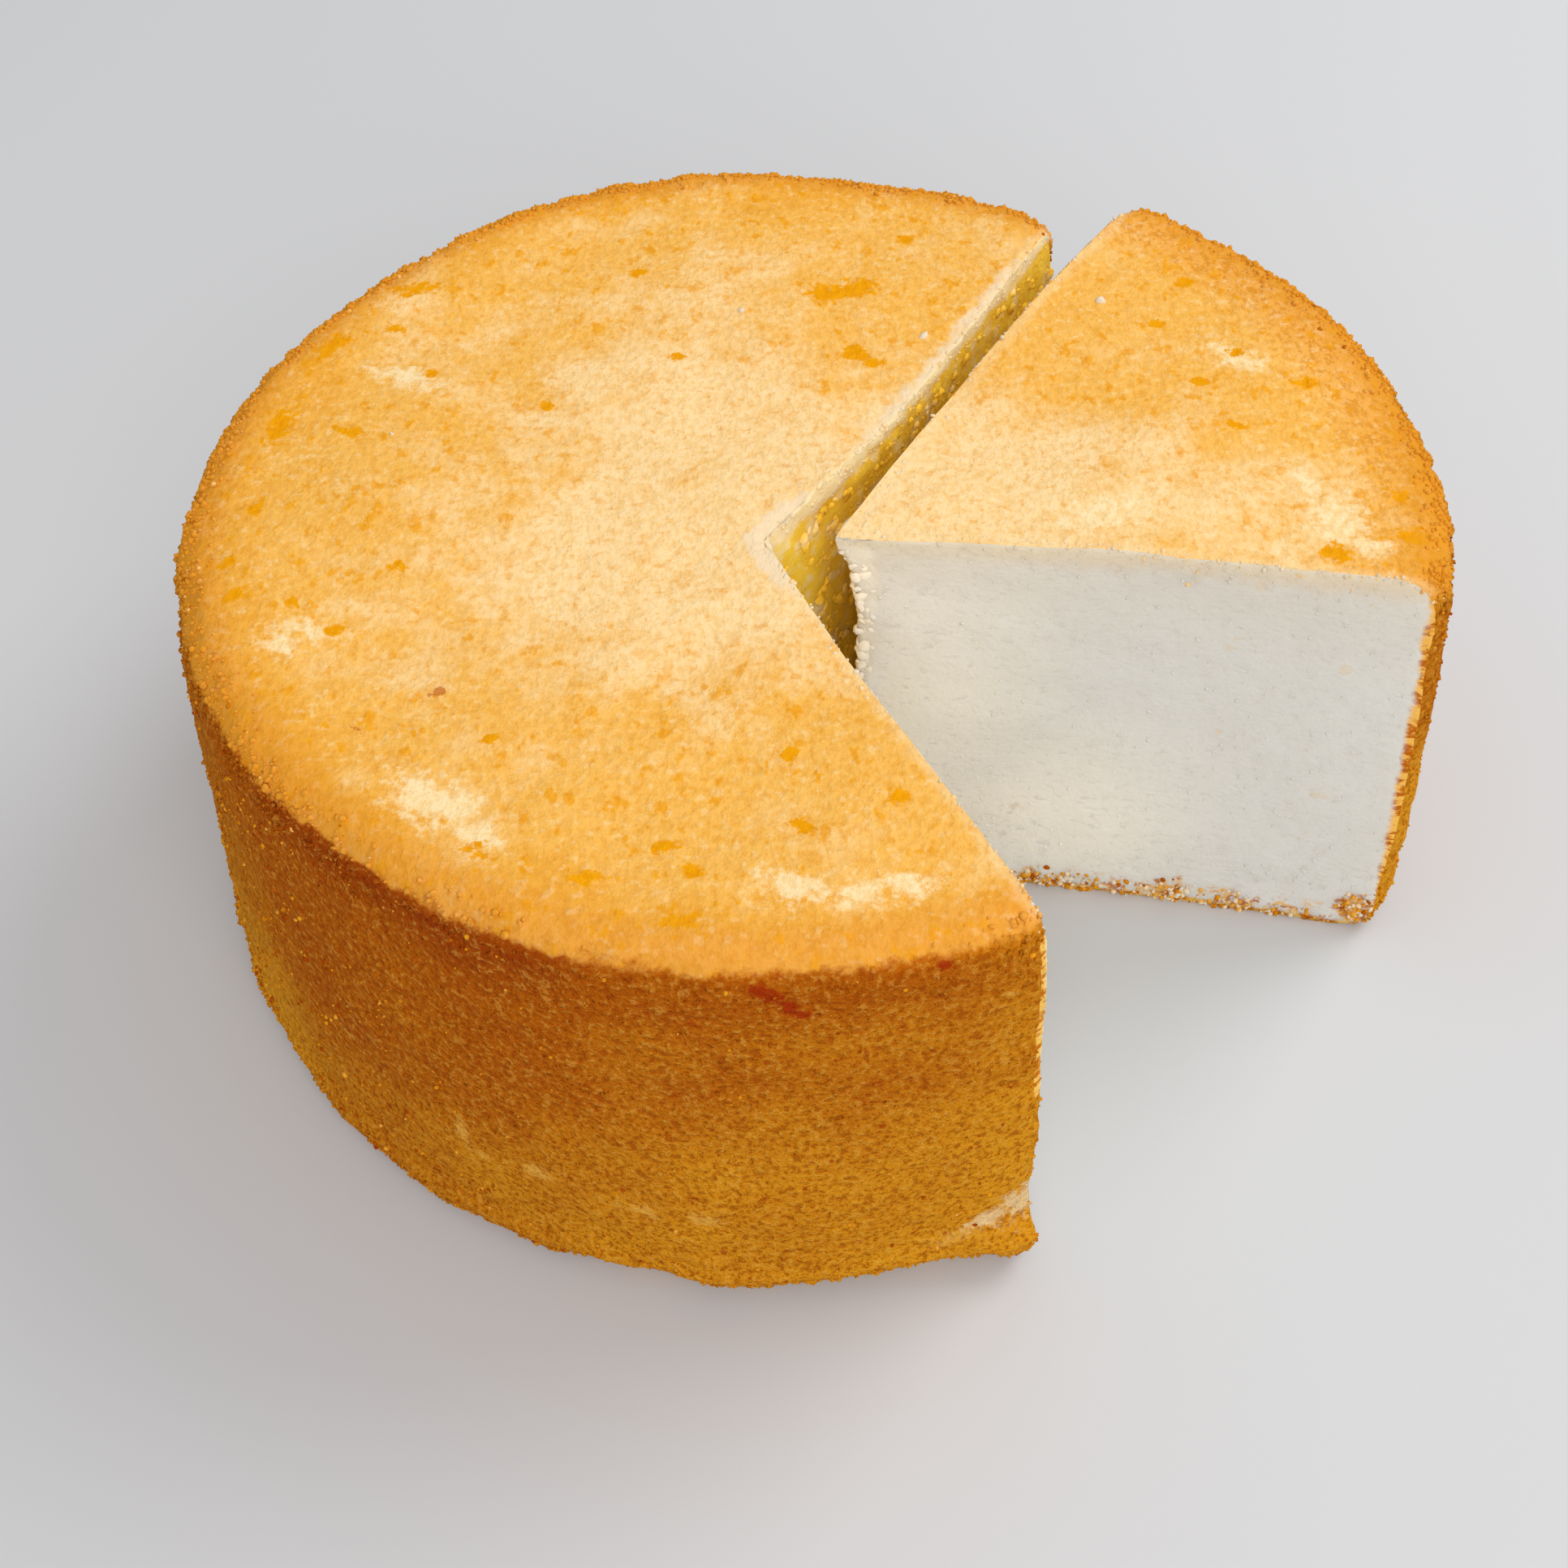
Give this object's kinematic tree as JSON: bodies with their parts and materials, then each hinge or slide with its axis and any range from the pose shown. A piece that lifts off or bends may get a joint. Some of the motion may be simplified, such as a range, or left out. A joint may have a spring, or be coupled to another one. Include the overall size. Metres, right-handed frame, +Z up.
{
  "type": "chiffon cake",
  "caption": "Plain round golden chiffon cake with no centre hole, cut, with a loose wedge slice drawn a little out of its gap. Prepared food that stands on its flat base.",
  "frame": {"origin": "on the flat base of the large piece, under the centre of the cake's round top and 7 mm behind the corner where the two cuts meet", "axes": "+Z up through the cake, +X roughly towards the loose slice, -Y towards the open side between the slice and the large piece"},
  "size_m": [0.1693, 0.1584, 0.067],
  "materials": {
    "golden_cake": "matte",
    "golden_cake_slice": "matte"
  },
  "bodies": {
    "root": {"cake_large_piece": "golden_cake", "cake_slice": "golden_cake_slice"}
  },
  "joints": []
}
